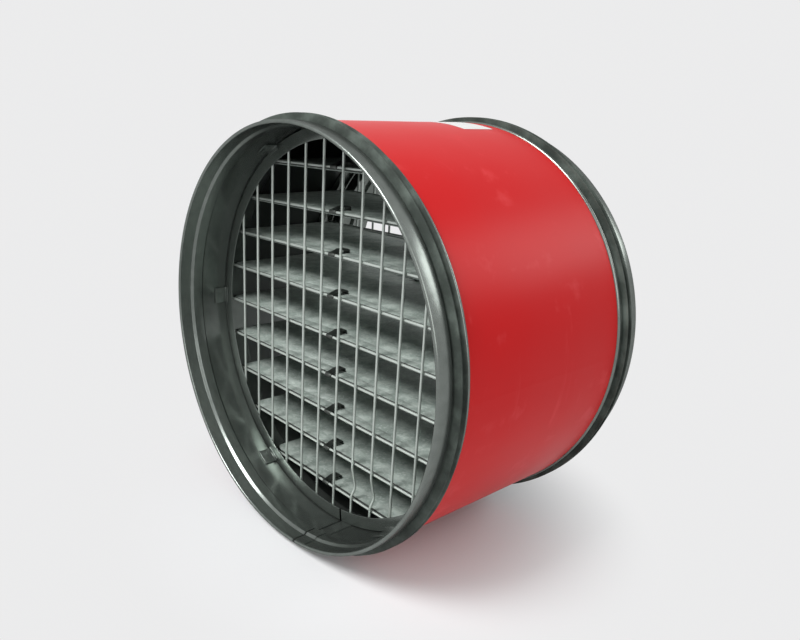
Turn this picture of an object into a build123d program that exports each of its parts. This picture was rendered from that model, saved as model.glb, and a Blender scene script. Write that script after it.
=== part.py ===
from build123d import *
from math import asin, cos, degrees, radians, sin, sqrt
import os

# Round fire damper for a 355 mm duct. The duct runs along Y, and the end with the bent wires faces -Y.
# Two wire grilles close the duct, and nine flat slats lie one above the other between them.
# The origin is the middle of the casing, +X is right seen from the front, and +Z is up.

# Sheet steel casing, and the spigots that stand out of its two ends
duct_r = 177.0
casing_length = 179.0
casing_wall = 0.9
sheet = 0.9
seat_gap = 0.1
lip_reach = 29.5
tail_length = 45.0

# Hemmed lip, seal groove and bead of a spigot, measured back from the lip
lip_fold_r = 1.6
hem_length = 13.2
groove_length = 12.0
groove_depth = 4.2
groove_slope = 1.2
bead_height = 1.5
bead_width = 2.4
bead_slope = 0.7

# Lap seam along the inside of each spigot
seam_angle = -82.0
seam_width = 14.0
seam_sheet = 0.6

# Rubber seal with two lips
seal_stand = 5.0
seal_lip_root = 1.9
seal_lip_tip = 0.9
seal_lip_rake = 1.4
seal_body_height = 3.6
seal_side_gap = 0.3
seal_lip_gap = 3.2

# Wire grilles
wire_d = 2.3
wire_end_gap = 3.1
grille_setback = 56.3
weld_gap = 0.05
column_count = 13
column_margin = 22.0
middle_column_x = 8.7
row_count = 9
row_margin = 28.0
middle_row_z = -3.3

# Two wires of the front grille are pushed in between the two lowest rows
bent_columns = (7, 8)
bend_in = 3.6
bend_aside = 1.0
bend_place = 0.66
bend_reach = 4.0
bend_round = 9.0

# Flat rings that hold the grilles, and the clips that hold the rings
ring_width = 11.2
ring_edge_gap = 0.9
ring_thickness = 1.2
clip_count = 6
clip_width = 16.0
clip_length = 13.0
clip_thickness = 1.2
clip_foot = 4.0
clip_gap = 0.05

# Slats
slat_wire_gap = 2.0
slat_thickness = 4.0
slat_rise = 0.6
slat_wall_gap = 0.3
slat_corner = 8.0
slat_edge = 1.0

# Sheet ties that hook each slat to a wire of the grille
tie_x = -5.0
tie_width = 8.0
tie_sheet = 0.7
tie_wire_gap = 0.1
tie_slot_setback = 12.5
tie_slot_gap = 0.3
tie_arch = 3.4
tie_tail = 3.4
tie_roll_start = 230.0
tie_roll_end = 75.0
tie_crest = 0.45

os.makedirs("parts", exist_ok=True)


def save(piece, label):
    """Give a finished piece its name and write it."""
    piece.part.label = label
    export_step(piece.part, f"parts/{label}.step")


def mirrored(piece, label):
    """Make the rear twin of a front piece."""
    with BuildPart() as twin:
        mirror(piece.part, about=Plane.XZ)
    save(twin, label)


# Casing: the painted tube between the two spigots
casing_inner_r = duct_r - casing_wall
with BuildPart() as casing:
    Cylinder(duct_r, casing_length, rotation=(90, 0, 0))
    Cylinder(casing_inner_r, casing_length, rotation=(90, 0, 0), mode=Mode.SUBTRACT)
save(casing, "casing")

# Spigot: one rolled sheet with a hemmed lip, a seal groove and a bead, its tail inside the casing.
# The outline is drawn once along the outer face of the sheet, with radius as X and duct axis as Y.
tail_r = casing_inner_r - seat_gap
tail_inner_r = tail_r - sheet
tail_end_y = tail_length - 0.5 * casing_length
lip_y = -0.5 * casing_length - lip_reach
hem_end_y = lip_y + hem_length
groove_start_y = hem_end_y + 0.5 * sheet
groove_end_y = groove_start_y + groove_length
groove_r = duct_r - groove_depth
bead_top_r = tail_r + seat_gap + casing_wall + bead_height
bead_end_y = -0.5 * casing_length - seat_gap
bead_start_y = bead_end_y - bead_width
inner_wall_r = duct_r - 2 * lip_fold_r

with BuildPart() as front_spigot:
    with BuildSketch(Plane.XY):
        with BuildLine():
            hem = Line((duct_r, hem_end_y), (duct_r, lip_y + lip_fold_r))
            fold = ThreePointArc(
                hem @ 1,
                (duct_r - lip_fold_r, lip_y),
                (inner_wall_r, lip_y + lip_fold_r),
            )
            inside = Polyline(
                fold @ 1,
                (inner_wall_r, groove_start_y - groove_slope),
                (groove_r - sheet, groove_start_y + groove_slope),
                (groove_r - sheet, groove_end_y - groove_slope),
                (tail_inner_r, groove_end_y + groove_slope),
                (tail_inner_r, tail_end_y),
            )
            tail_end = Line(inside @ 1, (tail_r, tail_end_y))
            tail = Line(tail_end @ 1, (tail_r, bead_end_y))
            bead = Polyline(
                tail @ 1,
                (bead_top_r - bead_slope, bead_end_y),
                (bead_top_r, bead_end_y - bead_slope),
                (bead_top_r, bead_start_y + bead_slope),
                (tail_r, bead_start_y),
                (groove_r, groove_end_y - groove_slope),
                (groove_r, groove_start_y + groove_slope),
                (inner_wall_r + sheet, groove_start_y - groove_slope),
                (inner_wall_r + sheet, lip_y + lip_fold_r),
            )
            Polyline(
                bead @ 1,
                (duct_r - lip_fold_r, lip_y + sheet),
                (duct_r - sheet, lip_y + lip_fold_r),
                (duct_r - sheet, hem_end_y),
                hem @ 0,
            )
        make_face()
    revolve(axis=Axis.Y)
save(front_spigot, "front_spigot")
mirrored(front_spigot, "rear_spigot")


def radial_plane(angle):
    """A plane through the duct axis whose X points outwards at this angle and whose Y is the axis."""
    turn = radians(angle)
    return Plane(origin=(0, 0, 0), x_dir=(cos(turn), 0, sin(turn)), z_dir=(-sin(turn), 0, cos(turn)))


def arc_at(radius, width):
    """The angle that a width takes up on a circle of this radius."""
    return degrees(2 * asin(0.5 * width / radius))


# Seams: the end of the rolled sheet laps over its start, all the way from the lip to the tail
seam_arc = arc_at(tail_inner_r, seam_width)


def seam_path(inset):
    """The inner face of the spigot from lip to tail, moved inwards."""
    groove_inner_r = groove_r - sheet
    return [
        (inner_wall_r - inset, lip_y + lip_fold_r),
        (inner_wall_r - inset, groove_start_y - groove_slope),
        (groove_inner_r - inset, groove_start_y + groove_slope),
        (groove_inner_r - inset, groove_end_y - groove_slope),
        (tail_inner_r - inset, groove_end_y + groove_slope),
        (tail_inner_r - inset, tail_end_y),
    ]


with BuildPart() as front_seam:
    with BuildSketch(radial_plane(seam_angle + seam_arc)):
        with BuildLine():
            Polyline(*seam_path(seat_gap), *reversed(seam_path(seat_gap + seam_sheet)), close=True)
        make_face()
    revolve(axis=Axis.Y, revolution_arc=seam_arc)
save(front_seam, "front_seam")
mirrored(front_seam, "rear_seam")

# Seal: one rubber ring in the groove, with two thin lips that lean towards the casing
seal_start_y = groove_start_y + groove_slope + seal_side_gap
seal_end_y = groove_end_y - groove_slope - seal_side_gap
seal_floor_r = groove_r + 0.5 * seat_gap
seal_body_r = groove_r + seal_body_height
seal_lip_r = duct_r + seal_stand


def seal_lip(root_y):
    """The outline of one lip, from its front foot over its edge to its rear foot."""
    return [
        (seal_body_r, root_y),
        (seal_lip_r, root_y + seal_lip_rake),
        (seal_lip_r, root_y + seal_lip_rake + seal_lip_tip),
        (seal_body_r, root_y + seal_lip_root),
    ]


with BuildPart() as front_seal:
    with BuildSketch(Plane.XY):
        with BuildLine():
            Polyline(
                (seal_floor_r, seal_start_y),
                *seal_lip(seal_start_y),
                *seal_lip(seal_start_y + seal_lip_root + seal_lip_gap),
                (seal_body_r, seal_end_y),
                (seal_floor_r, seal_end_y),
                close=True,
            )
        make_face()
    revolve(axis=Axis.Y)
save(front_seal, "front_seal")
mirrored(front_seal, "rear_seal")

# Grilles: round wires welded where they cross, the upright ones on the outside
wire_r = 0.5 * wire_d
grille_r = tail_inner_r - wire_end_gap
grille_y = -lip_y - grille_setback
row_wire_y = grille_y - wire_d - weld_gap
column_pitch = 2 * (grille_r - column_margin) / (column_count - 1)
columns = [middle_column_x + column_pitch * (i - 0.5 * (column_count - 1)) for i in range(column_count)]
row_pitch = 2 * (grille_r - row_margin) / (row_count - 1)
rows = [middle_row_z + row_pitch * (0.5 * (row_count - 1) - i) for i in range(row_count)]


def half_chord(offset):
    """Half the length of a wire that lies this far from the middle."""
    return sqrt(grille_r**2 - offset**2)


def bent_wire(x, y):
    """One upright wire that is pushed in between the two lowest rows."""
    reach = half_chord(x)
    upper = rows[-2]
    lower = rows[-1]
    bend_z = upper - bend_place * row_pitch
    with BuildPart() as wire:
        with BuildLine():
            route = FilletPolyline(
                (x, y, -reach),
                (x, y, lower + bend_reach),
                (x + bend_aside, y + bend_in, bend_z),
                (x, y, upper - bend_reach),
                (x, y, reach),
                radius=bend_round,
            )
        with BuildSketch(Plane(origin=route @ 0, z_dir=route % 0)):
            Circle(wire_r)
        sweep(path=route)
    return wire.part


bent_wires = [bent_wire(columns[index], -grille_y) for index in bent_columns]
straight_columns = [x for index, x in enumerate(columns) if index not in bent_columns]

with BuildPart() as front_grille:
    for x in straight_columns:
        with Locations((x, -grille_y, 0)):
            Cylinder(wire_r, 2 * half_chord(x))
    add(bent_wires)
    for z in rows:
        with Locations((0, -row_wire_y, z)):
            Cylinder(wire_r, 2 * half_chord(z), rotation=(0, 90, 0))
save(front_grille, "front_grille")

with BuildPart() as rear_grille:
    for x in columns:
        with Locations((x, grille_y, 0)):
            Cylinder(wire_r, 2 * half_chord(x))
    for z in rows:
        with Locations((0, row_wire_y, z)):
            Cylinder(wire_r, 2 * half_chord(z), rotation=(0, 90, 0))
save(rear_grille, "rear_grille")

# Rings: flat washers cut from sheet, on the outer side of each grille
ring_outer_r = tail_inner_r - ring_edge_gap
ring_start_y = -grille_y - wire_r - ring_thickness
with BuildPart() as front_ring:
    with BuildSketch(Plane.XZ.offset(-ring_start_y - ring_thickness)):
        Circle(ring_outer_r)
        Circle(ring_outer_r - ring_width, mode=Mode.SUBTRACT)
    extrude(amount=ring_thickness)
save(front_ring, "front_ring")
mirrored(front_ring, "rear_ring")

# Clips: angles spot welded to the spigot wall, with a foot that bears on the ring
clip_outer_r = tail_inner_r - clip_gap
clip_arc = arc_at(clip_outer_r, clip_width)
with BuildPart() as front_clips:
    for i in range(clip_count):
        angle = 360.0 * i / clip_count
        with BuildSketch(radial_plane(angle + 0.5 * clip_arc)):
            with BuildLine():
                Polyline(
                    (clip_outer_r, ring_start_y),
                    (clip_outer_r, ring_start_y - clip_length),
                    (clip_outer_r - clip_thickness, ring_start_y - clip_length),
                    (clip_outer_r - clip_thickness, ring_start_y - clip_thickness),
                    (ring_outer_r - clip_foot, ring_start_y - clip_thickness),
                    (ring_outer_r - clip_foot, ring_start_y),
                    close=True,
                )
            make_face()
        revolve(axis=Axis.Y, revolution_arc=clip_arc)
save(front_clips, "front_clips")
mirrored(front_clips, "rear_clips")

# Slats: flat boards with rounded long edges, cut to the round wall, with a slot for each tie
slat_wall_r = tail_inner_r - slat_wall_gap
slat_depth = 2 * (row_wire_y - wire_r - slat_wire_gap)
tie_slot_y = 0.5 * slat_depth - tie_slot_setback


def wall_x(z):
    """How far the round wall lets a slat reach sideways at this height."""
    return sqrt(slat_wall_r**2 - z**2)


for number, z in enumerate(rows, start=1):
    top = z + slat_rise
    bottom = top - slat_thickness
    with BuildPart() as slat:
        with BuildSketch(Plane.XY.offset(bottom)):
            RectangleRounded(2 * max(wall_x(top), wall_x(bottom)), slat_depth, slat_corner)
        extrude(amount=slat_thickness)
        chamfer(slat.edges().filter_by(Axis.X), slat_edge)
        with BuildSketch(Plane.XZ):
            with BuildLine():
                Polyline(
                    (wall_x(top), top),
                    (wall_x(bottom), bottom),
                    (-wall_x(bottom), bottom),
                    (-wall_x(top), top),
                    close=True,
                )
            make_face()
        extrude(amount=slat_depth, both=True, mode=Mode.INTERSECT)
        with Locations((tie_x, tie_slot_y, z), (tie_x, -tie_slot_y, z)):
            Box(
                tie_width + 2 * tie_slot_gap,
                tie_sheet + 2 * tie_slot_gap,
                4 * slat_thickness,
                mode=Mode.SUBTRACT,
            )
    save(slat, f"slat_{number}")

# Ties: strips rolled round a wire, arched over the slat's edge and ended in its slot
tie_roll_r = wire_r + tie_wire_gap + 0.5 * tie_sheet


def tie_outline(z):
    """One tie seen from the side, for the slat whose wire is at this height."""
    wire_y = -row_wire_y
    slot_y = -tie_slot_y
    crest_y = wire_y + tie_crest * (slot_y - wire_y)
    arch_z = z + slat_rise + tie_arch
    tail_z = z + slat_rise - tie_tail
    half = 0.5 * tie_sheet
    sweep_angle = tie_roll_end - tie_roll_start
    with BuildLine() as line:
        inner = CenterArc((wire_y, z), tie_roll_r - half, tie_roll_start, sweep_angle)
        under = Polyline(
            inner @ 1,
            (crest_y + half, arch_z - half),
            (slot_y - half, arch_z - half),
            (slot_y - half, tail_z),
            (slot_y + half, tail_z),
            (slot_y + half, arch_z + half),
            (crest_y - half, arch_z + half),
        )
        outer = CenterArc((wire_y, z), tie_roll_r + half, tie_roll_start, sweep_angle)
        Line(under @ 1, outer @ 1)
        Line(outer @ 0, inner @ 0)
    return line.edges()


tie_outlines = [tie_outline(z) for z in rows]

with BuildPart() as front_ties:
    for outline in tie_outlines:
        with BuildSketch(Plane.YZ.offset(tie_x - 0.5 * tie_width)):
            make_face(outline)
        extrude(amount=tie_width)
save(front_ties, "front_ties")
mirrored(front_ties, "rear_ties")
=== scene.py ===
from math import atan2, cos, pi, radians, sin, sqrt

import bpy
from mathutils import Matrix, Vector


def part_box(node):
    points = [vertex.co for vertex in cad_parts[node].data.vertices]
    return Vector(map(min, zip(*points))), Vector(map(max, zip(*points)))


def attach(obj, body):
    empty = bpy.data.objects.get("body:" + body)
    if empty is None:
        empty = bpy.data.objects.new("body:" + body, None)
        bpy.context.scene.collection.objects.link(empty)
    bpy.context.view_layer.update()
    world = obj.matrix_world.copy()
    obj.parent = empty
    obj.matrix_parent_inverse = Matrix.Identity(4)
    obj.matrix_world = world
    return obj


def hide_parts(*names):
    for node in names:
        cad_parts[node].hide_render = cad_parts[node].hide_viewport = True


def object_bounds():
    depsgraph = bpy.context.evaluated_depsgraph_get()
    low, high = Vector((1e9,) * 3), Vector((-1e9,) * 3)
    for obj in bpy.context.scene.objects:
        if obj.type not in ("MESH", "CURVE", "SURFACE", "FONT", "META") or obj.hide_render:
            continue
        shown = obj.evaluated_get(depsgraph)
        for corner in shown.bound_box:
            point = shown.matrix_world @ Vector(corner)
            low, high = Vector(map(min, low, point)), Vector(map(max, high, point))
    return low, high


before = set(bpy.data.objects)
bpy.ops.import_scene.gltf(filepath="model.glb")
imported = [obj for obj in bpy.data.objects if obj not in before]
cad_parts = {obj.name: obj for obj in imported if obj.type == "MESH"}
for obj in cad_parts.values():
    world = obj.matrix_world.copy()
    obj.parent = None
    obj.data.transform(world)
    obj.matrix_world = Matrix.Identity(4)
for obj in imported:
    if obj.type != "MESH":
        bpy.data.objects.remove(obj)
cad_box = [list(corner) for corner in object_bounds()]

# Camera: it stands close to the damper, to the right of its open end and a little above the axis.
# The picture was cropped off centre, and a small shift gives the same framing.
camera_place = (0.4506, -0.4311, 0.1799)
camera_turn = radians(51.13)
camera_height = radians(18.57)
camera_roll = radians(1.447)
camera_lens = 31.55
camera_shift = (0.0915, 0.0393)

bpy.ops.object.select_all(action="DESELECT")
bpy.ops.object.camera_add()
camera = bpy.context.object
camera.data.lens = camera_lens
camera.data.sensor_width = 36.0
camera.data.clip_start = 0.01
camera.data.shift_x, camera.data.shift_y = camera_shift
camera.matrix_world = (
    Matrix.Translation(camera_place)
    @ Matrix.Rotation(camera_turn, 4, "Z")
    @ Matrix.Rotation(pi / 2 - camera_height, 4, "X")
    @ Matrix.Rotation(camera_roll, 4, "Z")
)
bpy.context.scene.camera = camera

# Floor and backdrop: one pale sheet of studio paper that runs under the damper and bends up behind it.
# The damper rests on it with the edge of its rubber seals, and its shadow stays near it.
floor_z = cad_box[0][2]
paper_half_width = 6.0
paper_front = -4.0
paper_back = 5.0
paper_height = 6.0
paper_bend = 2.0
shadow_fades_from = 0.19
shadow_ends_at = 0.32
backdrop_white = (0.835, 0.835, 0.84, 1)

bpy.ops.object.select_all(action="DESELECT")
bpy.ops.mesh.primitive_plane_add(size=1)
paper = bpy.context.object
paper.name = "studio_paper"
paper.scale = (2 * paper_half_width, paper_back - paper_front, 1)
paper.location = (0, 0.5 * (paper_front + paper_back), 0)
paper.rotation_euler = (0, 0, 0)
bpy.ops.object.transform_apply(location=True, rotation=True, scale=True)
bpy.ops.object.mode_set(mode="EDIT")
bpy.ops.mesh.select_mode(type="EDGE")
bpy.ops.mesh.select_all(action="DESELECT")
bpy.ops.object.mode_set(mode="OBJECT")
for edge in paper.data.edges:
    ends = [paper.data.vertices[v].co.y for v in edge.vertices]
    edge.select = min(ends) > paper_back - 0.01
bpy.ops.object.mode_set(mode="EDIT")
bpy.ops.mesh.extrude_region_move(TRANSFORM_OT_translate={"value": (0, 0, paper_height)})
bpy.ops.mesh.select_all(action="DESELECT")
bpy.ops.object.mode_set(mode="OBJECT")
for edge in paper.data.edges:
    ends = [paper.data.vertices[v].co for v in edge.vertices]
    edge.select = all(end.y > paper_back - 0.01 and end.z < 0.01 for end in ends)
bpy.ops.object.mode_set(mode="EDIT")
bpy.ops.mesh.bevel(offset=paper_bend, segments=16, affect="EDGES")
bpy.ops.object.mode_set(mode="OBJECT")
paper.matrix_world = Matrix.Translation((0, 0, floor_z)) @ Matrix.Rotation(camera_turn, 4, "Z")
bpy.ops.object.select_all(action="DESELECT")
paper.select_set(True)
bpy.context.view_layer.objects.active = paper
bpy.ops.object.transform_apply(location=True, rotation=True, scale=True)
bpy.ops.object.shade_smooth()


class Signal:
    """A socket inside a finish. Sums and products of signals add the nodes that work them out."""

    def __init__(self, finish, socket):
        self.finish = finish
        self.socket = socket

    def math(self, operation, first, second=0.0):
        return self.finish.math(operation, first, second)

    def __add__(self, other):
        return self.math("ADD", self, other)

    __radd__ = __add__

    def __sub__(self, other):
        return self.math("SUBTRACT", self, other)

    def __rsub__(self, other):
        return self.math("SUBTRACT", other, self)

    def __mul__(self, other):
        return self.math("MULTIPLY", self, other)

    __rmul__ = __mul__

    def __abs__(self):
        return self.math("ABSOLUTE", self)

    def between(self, low, high):
        """0 below low, 1 above high, and a soft step from one to the other."""
        return self.finish.add(
            "ShaderNodeMapRange",
            {"interpolation_type": "SMOOTHSTEP"},
            {"Value": self, "From Min": low, "From Max": high},
        )


class Finish:
    """One surface finish. Its colour, roughness and relief are made from signals."""

    def __init__(self, name, metallic=0.0):
        self.material = bpy.data.materials.new(name)
        self.material.use_nodes = True
        self.tree = self.material.node_tree
        self.shader = self.tree.nodes["Principled BSDF"]
        self.shader.inputs["Metallic"].default_value = metallic
        self.place = self.add("ShaderNodeTexCoord", {}, {}, "Object")

    def add(self, kind, settings, inputs, output=0):
        """Adds one node with its settings and inputs, and gives back one of its outputs."""
        node = self.tree.nodes.new(kind)
        for setting, value in settings.items():
            setattr(node, setting, value)
        for key, value in inputs.items():
            if isinstance(value, Signal):
                self.tree.links.new(value.socket, node.inputs[key])
            else:
                node.inputs[key].default_value = value
        return Signal(self, node.outputs[output])

    def math(self, operation, first, second=0.0):
        """One sum of two signals or numbers."""
        return self.add("ShaderNodeMath", {"operation": operation}, {0: first, 1: second})

    def noise(self, scale, stretch=(1, 1, 1), detail=3.0, rough=0.5):
        """Cloudy variation from 0 to 1. Stretch draws it out along the axes where it is small."""
        drawn = self.add("ShaderNodeMapping", {}, {"Vector": self.place, "Scale": stretch})
        inputs = {"Vector": drawn, "Scale": scale, "Detail": detail, "Roughness": rough}
        return self.add("ShaderNodeTexNoise", {}, inputs)

    def mix(self, share, first, second):
        """A colour between two others."""
        inputs = {0: share, 6: first, 7: second}
        return self.add("ShaderNodeMix", {"data_type": "RGBA"}, inputs, 2)

    def distance(self, place):
        """How far a place lies from the middle of the damper."""
        return self.add("ShaderNodeVectorMath", {"operation": "LENGTH"}, {0: place}, 1)

    def axis(self, letter):
        """How far along one axis of the damper a point lies, in metres."""
        return self.add("ShaderNodeSeparateXYZ", {}, {"Vector": self.place}, letter)

    def relief(self, height, depth):
        """Bumps of this depth in metres."""
        inputs = {"Height": height, "Distance": depth, "Strength": 1.0}
        bump = self.add("ShaderNodeBump", {}, inputs)
        self.tree.links.new(bump.socket, self.shader.inputs["Normal"])

    def feed(self, **signals):
        """Joins signals or fixed values to the shader. Names are the sockets' own, spaces as _."""
        for name, value in signals.items():
            socket = self.shader.inputs[name.replace("_", " ")]
            if isinstance(value, Signal):
                self.tree.links.new(value.socket, socket)
            else:
                socket.default_value = value


def seen_directly(finish):
    """1 where the camera, or gloss or glass, looks at a surface, and 0 for light on the damper."""
    rays = finish.add("ShaderNodeLightPath", {}, {}, "Is Camera Ray")
    for name in ("Is Glossy Ray", "Is Transmission Ray"):
        rays = rays + finish.add("ShaderNodeLightPath", {}, {}, name)
    return rays


paper_finish = Finish("studio_paper")
paper_finish.feed(Base_Color=(0.70, 0.705, 0.715, 1), Roughness=0.9, Specular_IOR_Level=0.1)
far = paper_finish.distance(paper_finish.place)
glow = paper_finish.add("ShaderNodeEmission", {}, {"Color": backdrop_white, "Strength": 1.0})
lit = Signal(paper_finish, paper_finish.shader.outputs["BSDF"])
share = seen_directly(paper_finish) * far.between(shadow_fades_from, shadow_ends_at)
blend = paper_finish.add("ShaderNodeMixShader", {}, {0: share, 1: lit, 2: glow})
surface = paper_finish.tree.nodes["Material Output"].inputs["Surface"]
paper_finish.tree.links.new(blend.socket, surface)
paper.data.materials.append(paper_finish.material)

# Light: three soft boxes, high in front of the open end, to the right and behind, and an even room.
# They are plain and white, so a colour renders about as it is written.
bpy.context.scene.view_settings.view_transform = "Standard"


def soft_box(name, place, aim, size, power):
    """One square lamp at a place, turned towards a point."""
    bpy.ops.object.select_all(action="DESELECT")
    bpy.ops.object.light_add(type="AREA", location=place)
    lamp = bpy.context.object
    lamp.name = name
    lamp.data.shape = "SQUARE"
    lamp.data.size = size
    lamp.data.energy = power
    lamp.rotation_euler = (Vector(aim) - Vector(place)).to_track_quat("-Z", "Y").to_euler()


soft_box("side_box", (1.6, -0.8, 0.8), (0, 0, 0), 1.4, 14.0)
soft_box("front_box", (-0.15, -1.45, 1.65), (0, 0, 0), 0.9, 64.0)
soft_box("back_box", (1.1, 1.66, 1.05), (0, 0, 0), 0.85, 13.0)


class Room(Finish):
    """The even light of the room, made from the same kinds of nodes as a finish."""

    def __init__(self, name):
        self.material = bpy.data.worlds.new(name)
        self.material.use_nodes = True
        self.tree = self.material.node_tree


room = Room("room")
wall_grey = (0.80, 0.81, 0.82, 1)
dim_walls = room.add("ShaderNodeBackground", {}, {"Color": wall_grey, "Strength": 0.08})
open_side = room.add("ShaderNodeBackground", {}, {"Color": backdrop_white, "Strength": 1.0})
air = room.add("ShaderNodeMixShader", {}, {0: seen_directly(room), 1: dim_walls, 2: open_side})
room.tree.links.new(air.socket, room.tree.nodes["World Output"].inputs["Surface"])
bpy.context.scene.world = room.material

# Casing: a tube of thin sheet steel between the two spigots, painted in smooth signal red.
# Handling has left faint shallow dents and pale upright rub marks in the paint.
paint_red = (0.53, 0.011, 0.012, 1)
paint_rubbed = (0.64, 0.070, 0.075, 1)
paint_shaded = (0.49, 0.010, 0.011, 1)
bare_steel = (0.16, 0.17, 0.165, 1)

casing_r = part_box("casing")[1].z
paint_start = 0.0002
paint_end = 0.0006
red_paint = Finish("red_paint")
tone = red_paint.noise(6.0, detail=2.0)
rubs = red_paint.noise(30.0, stretch=(1, 1, 0.12), detail=5.0, rough=0.65).between(0.60, 0.78)
blots = red_paint.noise(22.0, detail=4.0, rough=0.6).between(0.58, 0.72)
painted = red_paint.mix(tone, paint_shaded, paint_red)
marked = red_paint.mix(0.55 * rubs + 0.35 * blots, painted, paint_rubbed)
flat_place = {0: red_paint.place, 1: (1, 0, 1)}
across = red_paint.add("ShaderNodeVectorMath", {"operation": "MULTIPLY"}, flat_place)
coat = red_paint.distance(across).between(casing_r - paint_end, casing_r - paint_start)
red_paint.feed(
    Base_Color=red_paint.mix(coat, bare_steel, marked),
    Roughness=0.34 + 0.08 * tone + 0.10 * rubs,
    Specular_IOR_Level=0.10,
    Metallic=1 - coat,
)
dents = red_paint.noise(9.0, stretch=(1, 1, 0.5), detail=1.0)
peel = red_paint.noise(900.0, detail=1.0)
red_paint.relief(dents + 0.006 * peel, 0.0022)
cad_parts["casing"].material_slots[0].material = red_paint.material

# Spigots: each is one galvanised sheet rolled round, with a folded lip and hem, a groove for the seal
# and a small bead against the casing. The tail runs on inside the casing and carries the grille.
spigot_low, spigot_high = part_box("front_spigot")
casing_low, casing_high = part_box("casing")
duct_r = casing_high.z
lip_y = spigot_low.y
tail_end_y = spigot_high.y
casing_end_y = casing_low.y
sheet = 0.0009
seat_gap = 0.0001
fold_r = 0.0016
hem_length = 0.0132
groove_length = 0.0120
groove_depth = 0.0042
groove_slope = 0.0012
bead_height = 0.0015
bead_width = 0.0034

tail_r = duct_r - sheet - seat_gap
tail_inner_r = tail_r - sheet
lip_inner_r = duct_r - 2 * fold_r
hem_end_y = lip_y + hem_length
groove_start_y = hem_end_y + 0.5 * sheet
groove_end_y = groove_start_y + groove_length
groove_r = duct_r - groove_depth
bead_end_y = casing_end_y - seat_gap
bead_middle_y = bead_end_y - 0.5 * bead_width


def bend(middle, radius, start, end, steps=8):
    """Points round a bend in the sheet, as (radius, along the duct), from one angle to another."""
    turns = [radians(start + (end - start) * i / steps) for i in range(steps + 1)]
    return [(middle[0] + radius * cos(turn), middle[1] + radius * sin(turn)) for turn in turns]


def clear_selection():
    """Leaves nothing selected, so that the next operator acts on its own piece alone."""
    if bpy.context.mode != "OBJECT":
        bpy.ops.object.mode_set(mode="OBJECT")
    bpy.ops.object.select_all(action="DESELECT")


def rounded(piece, width, limit=25.0, segments=3):
    """Rounds off the sharp edges of a finished piece and smooths its faces."""
    clear_selection()
    piece.select_set(True)
    bpy.context.view_layer.objects.active = piece
    edges = piece.modifiers.new("edges", "BEVEL")
    edges.width = width
    edges.segments = segments
    edges.limit_method = "ANGLE"
    edges.angle_limit = radians(limit)
    edges.use_clamp_overlap = True
    bpy.ops.object.modifier_apply(modifier=edges.name)
    bpy.ops.object.shade_smooth_by_angle(angle=radians(40))


def rolled(name, outline, sides=240):
    """A closed ring round the duct: a circle is drawn out from point to point of its outline."""
    clear_selection()
    radius, y = outline[0]
    bpy.ops.mesh.primitive_circle_add(vertices=sides, radius=radius, rotation=(pi / 2, 0, 0))
    piece = bpy.context.object
    piece.name = name
    bpy.ops.object.transform_apply(location=False, rotation=True, scale=False)
    bpy.ops.object.mode_set(mode="EDIT")
    bpy.ops.mesh.select_all(action="SELECT")
    bpy.ops.transform.translate(value=(0, y, 0))
    for (old_r, old_y), (new_r, new_y) in zip(outline, outline[1:]):
        bpy.ops.mesh.extrude_region_move(TRANSFORM_OT_translate={"value": (0, new_y - old_y, 0)})
        grow = new_r / old_r
        bpy.ops.transform.resize(value=(grow, 1, grow), center_override=(0, new_y, 0))
    bpy.ops.mesh.select_all(action="DESELECT")
    bpy.ops.mesh.select_mode(type="EDGE")
    bpy.ops.mesh.select_non_manifold()
    bpy.ops.mesh.bridge_edge_loops()
    bpy.ops.mesh.select_all(action="SELECT")
    bpy.ops.mesh.normals_make_consistent(inside=False)
    bpy.ops.object.mode_set(mode="OBJECT")
    return piece


def rear_twin(piece, name):
    """The same piece mirrored to the rear end, with its faces turned outwards again."""
    clear_selection()
    twin = piece.copy()
    twin.data = piece.data.copy()
    twin.name = name
    bpy.context.collection.objects.link(twin)
    twin.data.transform(Matrix.Scale(-1, 4, (0, 1, 0)))
    twin.data.flip_normals()
    return twin


def fitted(piece, node, finish):
    """A finished piece takes its material and stands for its node."""
    piece.data.materials.clear()
    piece.data.materials.append(finish.material)
    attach(piece, "root")
    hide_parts(node)


steel_light = (0.25, 0.272, 0.255, 1)
steel_dark = (0.090, 0.105, 0.095, 1)
# The near-black colour below is painted shadow: a thin line along the edge of the lap seam, low on the
# inside wall, stands in for the shadow of the sheet's step. It runs along every galvanised piece at
# that angle round the duct.
lap_shadow_black = (0.002, 0.002, 0.002, 1)
zinc_shine = 0.84
lap_edge = 0.1405
lap_shadow_width = 0.0150
lap_shadow_blur = 0.0015

galvanised = Finish("galvanised_sheet")
spangle = galvanised.noise(140.0, detail=2.0, rough=0.4)
drawn = galvanised.noise(26.0, stretch=(0.15, 1, 0.15), detail=4.0, rough=0.6)
cloud = galvanised.noise(14.0, detail=2.0)
sheet_tone = galvanised.mix(0.45 * spangle + 0.55 * cloud, steel_dark, steel_light)
below = 0 - galvanised.axis("Z")
round_duct = galvanised.math("ARCTAN2", galvanised.axis("X"), below)
# The painted shadow line: a narrow band of angles just inside the seam's edge, black and fully
# metallic so that it stays dark.
lap_start = lap_edge - lap_shadow_width
lap_shadow = round_duct.between(lap_start, lap_start + lap_shadow_blur)
lap_shadow = lap_shadow * (1 - round_duct.between(lap_edge - lap_shadow_blur, lap_edge))
galvanised.feed(
    Base_Color=galvanised.mix(lap_shadow, sheet_tone, lap_shadow_black),
    Metallic=zinc_shine + (1 - zinc_shine) * lap_shadow,
    Roughness=0.15 + 0.12 * drawn + 0.08 * cloud,
    Specular_Tint=(0.4, 0.4, 0.4, 1),
)
galvanised.relief(cloud + 0.12 * drawn + 0.01 * spangle, 0.0009)

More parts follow.
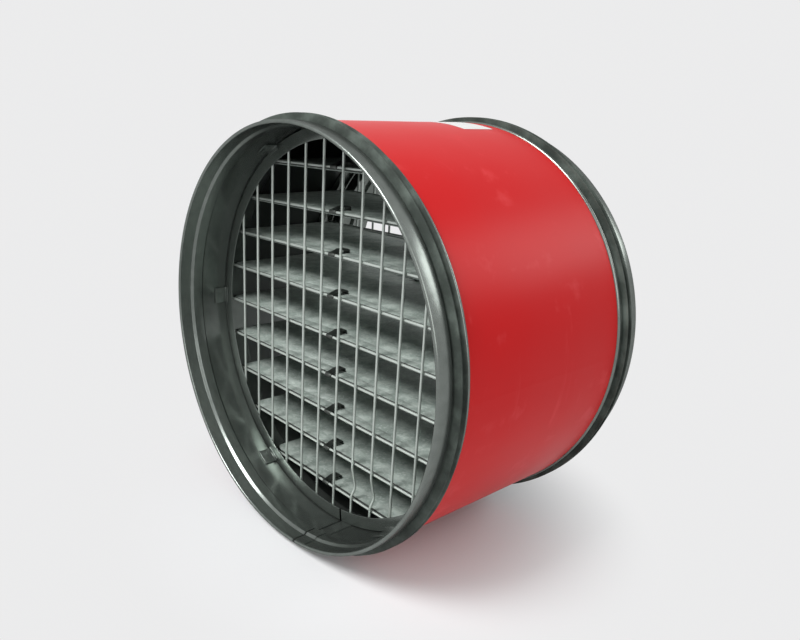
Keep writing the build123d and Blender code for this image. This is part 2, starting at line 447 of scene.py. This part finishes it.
spigot_outline = [
    (duct_r, hem_end_y),
    *bend((duct_r - fold_r, lip_y + fold_r), fold_r, 0, -180),
    (lip_inner_r, groove_start_y - groove_slope),
    (groove_r - sheet, groove_start_y + groove_slope),
    (groove_r - sheet, groove_end_y - groove_slope),
    (tail_inner_r, groove_end_y + groove_slope),
    (tail_inner_r, tail_end_y),
    (tail_r, tail_end_y),
    (tail_r, bead_end_y),
    (duct_r, bead_end_y),
    *bend((duct_r + bead_height - 0.5 * bead_width, bead_middle_y), 0.5 * bead_width, 80, -80),
    (duct_r, bead_end_y - bead_width),
    (tail_r, bead_end_y - bead_width),
    (groove_r, groove_end_y - groove_slope),
    (groove_r, groove_start_y + groove_slope),
    (lip_inner_r + sheet, groove_start_y - groove_slope),
    *bend((duct_r - fold_r, lip_y + fold_r), fold_r - sheet, -180, 0, 4),
    (duct_r - sheet, hem_end_y),
]
front_spigot = rolled("front_spigot_sheet", spigot_outline)
rounded(front_spigot, 0.0004)
rear_spigot = rear_twin(front_spigot, "rear_spigot_sheet")
fitted(front_spigot, "front_spigot", galvanised)
fitted(rear_spigot, "rear_spigot", galvanised)

# Lap seams: the ends of each rolled sheet lie one over the other, low on the inside wall.
# They keep their shape and take the sheet's finish.
for name in ("front_seam", "rear_seam"):
    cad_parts[name].material_slots[0].material = galvanised.material

# Seals: one moulded rubber ring in the groove of each spigot, with two thin lips that lean back.
# Dust and handling leave paler streaks on the dark grey-green rubber.
seal_low, seal_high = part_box("front_seal")
seal_r = seal_high.z
seal_start_y = seal_low.y
seal_end_y = seal_high.y
seal_body = 0.0036
seal_body_r = groove_r + seal_body
seal_lip_root = 0.0019
seal_lip_tip = 0.0009
seal_lip_rake = 0.0014
seal_lip_gap = 0.0032


def seal_lip(root_y):
    """One lip from its front foot, round its edge, to its rear foot."""
    tip_y = root_y + seal_lip_rake
    return [
        (seal_body_r, root_y),
        (seal_r, tip_y),
        (seal_r, tip_y + seal_lip_tip),
        (seal_body_r, root_y + seal_lip_root),
    ]


rubber_dark = (0.030, 0.037, 0.032, 1)
rubber_dusty = (0.100, 0.120, 0.106, 1)

rubber = Finish("seal_rubber")
dust = rubber.noise(40.0, detail=5.0, rough=0.6)
rubber.feed(
    Base_Color=rubber.mix(dust.between(0.35, 0.75), rubber_dark, rubber_dusty),
    Roughness=0.58 + 0.22 * dust,
    Specular_IOR_Level=0.15,
)
rubber.relief(rubber.noise(500.0, detail=2.0) + 2.0 * dust, 0.00008)

seal_outline = [
    (groove_r + 0.5 * seat_gap, seal_start_y),
    *seal_lip(seal_start_y),
    *seal_lip(seal_start_y + seal_lip_root + seal_lip_gap),
    (seal_body_r, seal_end_y),
    (groove_r + 0.5 * seat_gap, seal_end_y),
]
front_seal = rolled("front_seal_ring", seal_outline)
rounded(front_seal, 0.0003)
rear_seal = rear_twin(front_seal, "rear_seal_ring")
fitted(front_seal, "front_seal", rubber)
fitted(rear_seal, "rear_seal", rubber)

# Rings: flat washers cut from galvanised sheet, against the inner wall and in front of each grille.
# Their cut edges are slightly broken.
ring_low, ring_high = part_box("front_ring")
ring_width = 0.0112
ring_outer_r = ring_high.z
ring_inner_r = ring_outer_r - ring_width

ring_outline = [
    (ring_inner_r, ring_low.y),
    (ring_outer_r, ring_low.y),
    (ring_outer_r, ring_high.y),
    (ring_inner_r, ring_high.y),
]
front_ring = rolled("front_ring_washer", ring_outline)
rounded(front_ring, 0.00025)
rear_ring = rear_twin(front_ring, "rear_ring_washer")
fitted(front_ring, "front_ring", galvanised)
fitted(rear_ring, "rear_ring", galvanised)

# Clips: six small angles at each end, cut from strip, spot welded to the wall with a foot on the ring.
# One is modelled at the right hand side and copied round the duct.
clip_low, clip_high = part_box("front_clips")
clip_count = 6
clip_width = 0.0160
clip_sheet = 0.0012
clip_foot = 0.0040
clip_gap = 0.0003
clip_wall_r = tail_inner_r - clip_gap


def one_clip():
    """A block the size of the plate, whose rear inner edge is drawn inwards into the foot."""
    clear_selection()
    bpy.ops.mesh.primitive_cube_add(size=1)
    clip = bpy.context.object
    length = clip_high.y - clip_low.y
    clip.scale = (clip_sheet, length, clip_width)
    clip.location = (clip_wall_r - 0.5 * clip_sheet, clip_low.y + 0.5 * length, 0)
    bpy.ops.object.transform_apply(location=True, rotation=True, scale=True)
    bpy.ops.object.mode_set(mode="EDIT")
    bpy.ops.mesh.select_mode(type="FACE")
    bpy.ops.mesh.bisect(
        plane_co=(0, clip_high.y - clip_sheet, 0), plane_no=(0, 1, 0), use_fill=False
    )
    bpy.ops.mesh.select_all(action="DESELECT")
    bpy.ops.object.mode_set(mode="OBJECT")
    for face in clip.data.polygons:
        face.select = face.normal.x < -0.9 and face.center.y > clip_high.y - clip_sheet
    bpy.ops.object.mode_set(mode="EDIT")
    reach = ring_outer_r - clip_foot - (clip_wall_r - clip_sheet)
    bpy.ops.mesh.extrude_region_move(TRANSFORM_OT_translate={"value": (reach, 0, 0)})
    bpy.ops.object.mode_set(mode="OBJECT")
    rounded(clip, 0.0003)
    return clip


def joined(name, copies):
    """Several copies become one piece with one mesh."""
    clear_selection()
    for copy in copies:
        copy.select_set(True)
    bpy.context.view_layer.objects.active = copies[0]
    bpy.ops.object.join()
    copies[0].name = name
    return copies[0]


clips = [one_clip()]
for i in range(1, clip_count):
    clip = clips[0].copy()
    clip.data = clips[0].data.copy()
    bpy.context.collection.objects.link(clip)
    clip.data.transform(Matrix.Rotation(2 * pi * i / clip_count, 4, "Y"))
    clips.append(clip)
front_clips = joined("front_clip_set", clips)
rear_clips = rear_twin(front_clips, "rear_clip_set")
fitted(front_clips, "front_clips", galvanised)
fitted(rear_clips, "rear_clips", galvanised)

# Grilles: round galvanised wires in two layers, welded where they cross, the upright ones outside.
# Two upright wires of the front grille are pushed in between the two lowest rows.
wire_light = (0.58, 0.63, 0.59, 1)
wire_dull = (0.36, 0.40, 0.37, 1)

wire_zinc = Finish("galvanised_wire", metallic=0.6)
dulled = wire_zinc.noise(60.0, detail=4.0, rough=0.6)
wire_zinc.feed(
    Base_Color=wire_zinc.mix(dulled, wire_light, wire_dull),
    Roughness=0.30 + 0.16 * dulled,
)
wire_zinc.relief(wire_zinc.noise(700.0, detail=2.0), 0.00001)
for name in ("front_grille", "rear_grille"):
    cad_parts[name].material_slots[0].material = wire_zinc.material

# Slats: flat boards, 4 mm thick, with rounded corners and a dull grey coating, darker on the front and
# rear faces except a thin strip along their lower edge.
# Their ends are cut to the round wall, and each has a slot near its front and rear for a tie.
slat_count = 9
row_pitch = 0.0360
slat_gap = 0.0003
slat_wall_r = tail_inner_r - slat_gap
slat_corner = 0.0080
slat_edge = 0.0010
slot_width = 0.0086
slot_length = 0.0013
slot_inset = 0.0125
punch_length = 0.0100
tie_x = -0.0050
dark_face_inset = 0.0007
dark_face_inset_end = 0.0002
pale_edge = 0.0005
pale_edge_end = 0.0011

board_grey = (0.185, 0.222, 0.200, 1)
board_pale = (0.335, 0.380, 0.350, 1)
board_worn = (0.48, 0.52, 0.49, 1)
board_cut_face_dark = (0.030, 0.034, 0.030, 1)

board = Finish("slat_coating")
middle_slat_low, middle_slat_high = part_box("slat_5")
mottle = board.noise(75.0, detail=5.0, rough=0.65)
speck = board.noise(420.0, detail=2.0).between(0.52, 0.70)
cut_y = middle_slat_high.y
slot_y = cut_y - slot_inset
# Near black over the front and rear faces, from just behind their rounded edges, except a thin strip
# along each face's lower edge.
cut_face = abs(board.axis("Y")).between(cut_y - dark_face_inset, cut_y - dark_face_inset_end)
above_edge = board.math("FLOORED_MODULO", board.axis("Z") - middle_slat_low.z, row_pitch)
coated = board.mix(mottle.between(0.35, 0.70), board_grey, board_pale)
specked = board.mix(0.35 * speck, coated, board_worn)
dark_cut_faces = cut_face * above_edge.between(pale_edge, pale_edge_end)
board.feed(
    Base_Color=board.mix(dark_cut_faces, specked, board_cut_face_dark),
    Roughness=0.55 + 0.2 * mottle,
)
board.relief(board.noise(260.0, detail=4.0) + 2.0 * mottle, 0.00025)


def wall_x(z):
    """How far the round wall lets a slat reach sideways at this height."""
    return sqrt(slat_wall_r**2 - z**2)


def slotted(slat, middle_z, y):
    """Punches one slot through a slat. It is a loose fit round the tail of a tie."""
    clear_selection()
    bpy.ops.mesh.primitive_cube_add(size=1, location=(tie_x, y, middle_z))
    punch = bpy.context.object
    punch.scale = (slot_width, slot_length, punch_length)
    bpy.ops.object.transform_apply(location=True, rotation=True, scale=True)
    clear_selection()
    slat.select_set(True)
    bpy.context.view_layer.objects.active = slat
    hole = slat.modifiers.new("slot", "BOOLEAN")
    hole.operation = "DIFFERENCE"
    hole.object = punch
    bpy.ops.object.modifier_apply(modifier=hole.name)
    clear_selection()
    punch.select_set(True)
    bpy.context.view_layer.objects.active = punch
    bpy.ops.object.delete()


def slat_board(name, node):
    """A block the size of the slat, with its ends slanted to the wall and its corners rounded."""
    low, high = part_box(node)
    clear_selection()
    bpy.ops.mesh.primitive_cube_add(size=1)
    slat = bpy.context.object
    slat.name = name
    slat.scale = high - low
    slat.location = 0.5 * (low + high)
    bpy.ops.object.transform_apply(location=True, rotation=True, scale=True)
    for level in (low.z, high.z):
        clear_selection()
        bpy.context.view_layer.objects.active = slat
        slat.select_set(True)
        bpy.ops.object.mode_set(mode="EDIT")
        bpy.ops.mesh.select_mode(type="VERT")
        bpy.ops.mesh.select_all(action="DESELECT")
        bpy.ops.object.mode_set(mode="OBJECT")
        for vertex in slat.data.vertices:
            vertex.select = abs(vertex.co.z - level) < 1e-5
        bpy.ops.object.mode_set(mode="EDIT")
        share = 2 * wall_x(level) / (high.x - low.x)
        bpy.ops.transform.resize(value=(share, 1, 1), center_override=(0, 0, level))
        bpy.ops.object.mode_set(mode="OBJECT")
    bpy.ops.object.mode_set(mode="EDIT")
    bpy.ops.mesh.select_mode(type="EDGE")
    bpy.ops.mesh.select_all(action="DESELECT")
    bpy.ops.object.mode_set(mode="OBJECT")
    for edge in slat.data.edges:
        ends = [slat.data.vertices[v].co for v in edge.vertices]
        edge.select = abs(ends[0].z - ends[1].z) > 0.001
    bpy.ops.object.mode_set(mode="EDIT")
    bpy.ops.mesh.bevel(offset=slat_corner, segments=8, affect="EDGES")
    bpy.ops.object.mode_set(mode="OBJECT")
    rounded(slat, slat_edge, limit=50.0, segments=4)
    for y in (-slot_y, slot_y):
        slotted(slat, 0.5 * (low.z + high.z), y)
    return slat


for number in range(1, slat_count + 1):
    slat = slat_board(f"slat_board_{number}", f"slat_{number}")
    fitted(slat, f"slat_{number}", board)

# Ties: strips of thin sheet, one at each end of each slat. A strip is rolled round the cross wire,
# arches over the slat's edge and ends in the slot. The slot shows as a dark gap round the tail.
tie_width = 0.0080
tie_sheet = 0.0007
tie_roll_r = 0.0016
tie_arch = 0.0034
tie_tail = 0.0012
tie_crest = 0.45
tie_roll_start = 230
tie_roll_turn = 155
tie_roll_steps = 14
tie_corner = 0.0008
wire_r = 0.00115
weld_gap = 0.00005
grille_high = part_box("rear_grille")[1]
row_wire_y = grille_high.y - 3 * wire_r - weld_gap
slat_rise = 0.0006

# Both tie colours are near black. This is painted shade, for strips that lie in the dark between the
# slats; the tarnish noise only varies between the two.
tie_painted_shade = (0.045, 0.050, 0.046, 1)
tie_worn_painted_shade = (0.12, 0.13, 0.12, 1)

tie_steel = Finish("tie_strip", metallic=1.0)
tarnish = tie_steel.noise(160.0, detail=4.0, rough=0.6)
tie_steel.feed(
    Base_Color=tie_steel.mix(tarnish, tie_painted_shade, tie_worn_painted_shade),
    Roughness=0.30 + 0.25 * tarnish,
)


def one_tie(name, slat_top):
    """A short line as wide as the strip, drawn out along the strip's way and thickened."""
    wire_z = slat_top - slat_rise
    arch_z = slat_top + tie_arch
    crest_y = -row_wire_y + tie_crest * (row_wire_y - slot_y)
    step = tie_roll_turn / tie_roll_steps
    turns = [radians(tie_roll_start - step * i) for i in range(tie_roll_steps + 1)]
    way = [(-row_wire_y + tie_roll_r * cos(turn), wire_z + tie_roll_r * sin(turn)) for turn in turns]
    way += [(crest_y, arch_z - 0.5 * tie_corner), (crest_y + tie_corner, arch_z)]
    way += [(-slot_y - tie_corner, arch_z), (-slot_y, arch_z - tie_corner)]
    way += [(-slot_y, slat_top - tie_tail)]
    clear_selection()
    bpy.ops.mesh.primitive_plane_add(size=1)
    tie = bpy.context.object
    tie.name = name
    tie.scale = (tie_width, 0.0001, 1)
    tie.location = (tie_x, way[0][0], way[0][1])
    bpy.ops.object.transform_apply(location=True, rotation=True, scale=True)
    bpy.ops.object.mode_set(mode="EDIT")
    bpy.ops.mesh.select_mode(type="VERT")
    bpy.ops.mesh.select_all(action="DESELECT")
    bpy.ops.object.mode_set(mode="OBJECT")
    for vertex in tie.data.vertices:
        vertex.select = vertex.co.y > way[0][0]
    bpy.ops.object.mode_set(mode="EDIT")
    bpy.ops.mesh.delete(type="VERT")
    bpy.ops.mesh.select_all(action="SELECT")
    for (old_y, old_z), (new_y, new_z) in zip(way, way[1:]):
        onward = (0, new_y - old_y, new_z - old_z)
        bpy.ops.mesh.extrude_region_move(TRANSFORM_OT_translate={"value": onward})
    bpy.ops.object.mode_set(mode="OBJECT")
    wall = tie.modifiers.new("sheet", "SOLIDIFY")
    wall.thickness = tie_sheet
    wall.offset = 0
    bpy.ops.object.modifier_apply(modifier=wall.name)
    rounded(tie, 0.00015, limit=50.0, segments=2)
    return tie


ties = []
for number in range(1, slat_count + 1):
    slat_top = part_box(f"slat_{number}")[1].z
    ties.append(one_tie(f"tie_{number}", slat_top))
front_ties = joined("front_tie_set", ties)
rear_ties = rear_twin(front_ties, "rear_tie_set")
fitted(front_ties, "front_ties", tie_steel)
fitted(rear_ties, "rear_ties", tie_steel)

# Sticker: a bare white paper label, glued to the top of the casing near its rear end.
# It lies on the paint and follows the tube.
sticker_start_y = 0.0400
sticker_end_y = 0.0770
sticker_first_angle = 76.5
sticker_last_angle = 99.5
sticker_lift = 0.00025
sticker_sheet = 0.0002

bpy.ops.object.select_all(action="DESELECT")
bpy.ops.mesh.primitive_cylinder_add(
    vertices=720,
    radius=duct_r + sticker_lift,
    depth=sticker_end_y - sticker_start_y,
    end_fill_type="NOTHING",
    rotation=(pi / 2, 0, 0),
    location=(0, 0.5 * (sticker_start_y + sticker_end_y), 0),
)
sticker = bpy.context.object
sticker.name = "blank_sticker"
bpy.ops.object.transform_apply(location=True, rotation=True, scale=True)
bpy.ops.object.mode_set(mode="EDIT")
bpy.ops.mesh.select_mode(type="FACE")
bpy.ops.mesh.select_all(action="DESELECT")
bpy.ops.object.mode_set(mode="OBJECT")
for face in sticker.data.polygons:
    angle = atan2(face.center.z, face.center.x) * 180 / pi
    face.select = not sticker_first_angle < angle < sticker_last_angle
bpy.ops.object.mode_set(mode="EDIT")
bpy.ops.mesh.delete(type="FACE")
bpy.ops.object.mode_set(mode="OBJECT")
label_sheet = sticker.modifiers.new("paper", "SOLIDIFY")
label_sheet.thickness = sticker_sheet
bpy.ops.object.modifier_apply(modifier=label_sheet.name)
bpy.ops.object.shade_smooth_by_angle(angle=radians(40))

label_white = (0.70, 0.70, 0.69, 1)
label_soiled = (0.64, 0.64, 0.63, 1)

label_paper = Finish("label_paper")
label_paper.feed(
    Base_Color=label_paper.mix(label_paper.noise(60.0), label_soiled, label_white),
    Roughness=0.45,
)
sticker.data.materials.append(label_paper.material)
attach(sticker, "root")
